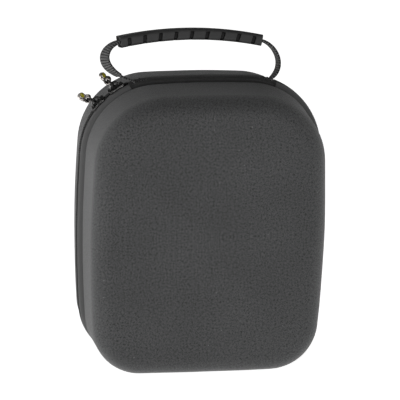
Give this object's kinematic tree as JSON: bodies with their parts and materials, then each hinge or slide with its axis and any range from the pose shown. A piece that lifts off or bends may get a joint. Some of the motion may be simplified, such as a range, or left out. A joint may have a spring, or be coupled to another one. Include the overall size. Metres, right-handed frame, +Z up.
{
  "type": "headphone carrying case",
  "caption": "Rounded hard-shell zip case for over-ear headphones, with a fabric hinge along the top, a webbing handle with a slotted rubber grip, and corner zip pulls.",
  "frame": {"origin": "on the surface it stands on, under the middle of the whole case", "axes": "+Z up along the case's length towards the handle, +Y out of the flat back panel, -Y out of the lid's front, +X to the right seen from the front"},
  "size_m": [0.174, 0.1039, 0.2368],
  "materials": {
    "outer_fabric": "matte ballistic weave",
    "lining_fabric": "short brushed pile",
    "foam_core": "moulded closed-cell foam",
    "tape_fabric": "woven herringbone tape",
    "coil_nylon": "black nylon coil",
    "webbing_fabric": "ribbed webbing",
    "grip_rubber": "fine matte moulded",
    "thread": "bonded thread",
    "net_mesh": "open knit",
    "gunmetal": "glossy black nickel",
    "satin_nickel": "satin cast",
    "yellow_enamel": "glossy enamel fill"
  },
  "bodies": {
    "base": {"base_cover": "outer_fabric", "base_shell": "foam_core", "base_lining": "lining_fabric", "base_binding": "tape_fabric", "base_zipper_tape": "tape_fabric", "base_zipper_coil": "coil_nylon", "cradle_pad": "lining_fabric"},
    "hinge": {"hinge_cover": "tape_fabric", "hinge_band": "tape_fabric", "hinge_lining": "lining_fabric", "webbing_anchors": "webbing_fabric", "anchor_stitches": "thread"},
    "lid": {"lid_cover": "outer_fabric", "lid_shell": "foam_core", "lid_lining": "lining_fabric", "lid_binding": "tape_fabric", "lid_zipper_tape": "tape_fabric", "lid_zipper_coil": "coil_nylon", "mesh_pocket": "net_mesh", "pocket_elastic": "webbing_fabric", "pocket_binding": "tape_fabric"},
    "handle": {"handle_webbing": "webbing_fabric", "handle_grip": "grip_rubber"},
    "slider_lower_body": {"slider_lower": "gunmetal"},
    "pull_lower_body": {"link_lower": "gunmetal", "pull_lower": "satin_nickel", "pull_inlay_lower": "yellow_enamel"},
    "slider_upper_body": {"slider_upper": "gunmetal"},
    "pull_upper_body": {"link_upper": "gunmetal", "pull_upper": "satin_nickel", "pull_inlay_upper": "yellow_enamel"}
  },
  "joints": [
    {"name": "hinge_fold", "type": "hinge", "parent": "base", "child": "hinge", "pos_m": [0, 0.007, 0.20006], "axis": [-1, 0, 0], "range_deg": [0, 50]},
    {"name": "lid_open", "type": "hinge", "parent": "hinge", "child": "lid", "pos_m": [0, -0.007, 0.20006], "axis": [-1, 0, 0], "range_deg": [0, 50], "deforming": ["lid_zipper_tape", "lid_zipper_coil"]},
    {"name": "handle_swing", "type": "hinge", "parent": "hinge", "child": "handle", "pos_m": [0, 0, 0.20056], "axis": [-1, 0, 0], "range_deg": [-70, 8]},
    {"name": "slider_lower_travel", "type": "hinge", "parent": "base", "child": "slider_lower_body", "pos_m": [-0.0318, 0, 0.14928], "axis": [0, -1, 0], "range_deg": [0, 32]},
    {"name": "pull_lower_swing", "type": "hinge", "parent": "slider_lower_body", "child": "pull_lower_body", "pos_m": [-0.07452, 0, 0.18641], "axis": [0, -1, 0], "range_deg": [-50, 38]},
    {"name": "slider_upper_travel", "type": "hinge", "parent": "base", "child": "slider_upper_body", "pos_m": [-0.0318, 0, 0.14928], "axis": [0, -1, 0], "range_deg": [0, 3]},
    {"name": "pull_upper_swing", "type": "hinge", "parent": "slider_upper_body", "child": "pull_upper_body", "pos_m": [-0.0618, 0, 0.19728], "axis": [0, -1, 0], "range_deg": [-4, 30]}
  ],
  "couplings": [
    {"joint": "hinge_fold", "follows": "lid_open", "ratio": 1}
  ]
}
